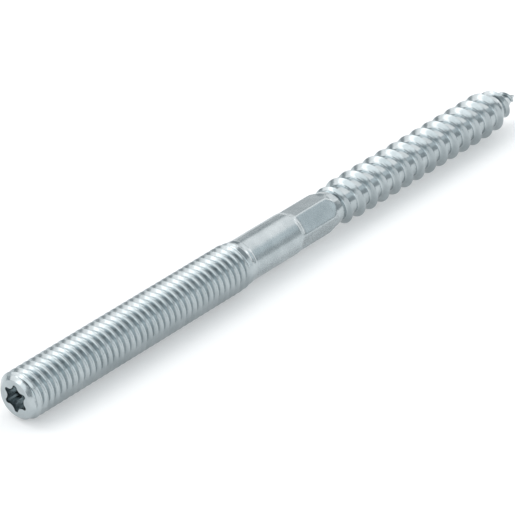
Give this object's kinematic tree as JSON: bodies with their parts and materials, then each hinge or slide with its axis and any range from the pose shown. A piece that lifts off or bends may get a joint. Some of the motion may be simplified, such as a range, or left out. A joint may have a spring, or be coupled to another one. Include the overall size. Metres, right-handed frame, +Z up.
{
  "type": "hanger bolt",
  "caption": "Steel hanger bolt: metric machine thread with a six-lobe socket in its end, plain shank, wrench hexagon, and a wood thread with a gimlet point.",
  "frame": {"origin": "on the floor under the middle of the bolt as it lies: halfway along its length, below its axis", "axes": "+X along the bolt's axis, from the socket end to the point; +Z up; the bolt lies level, with its machine thread on z = 0"},
  "size_m": [0.12, 0.0078, 0.0079],
  "materials": {
    "zinc_plated_steel": "bright blue-white zinc plating, satin"
  },
  "bodies": {
    "root": {"hanger_bolt": "zinc_plated_steel"}
  },
  "joints": []
}
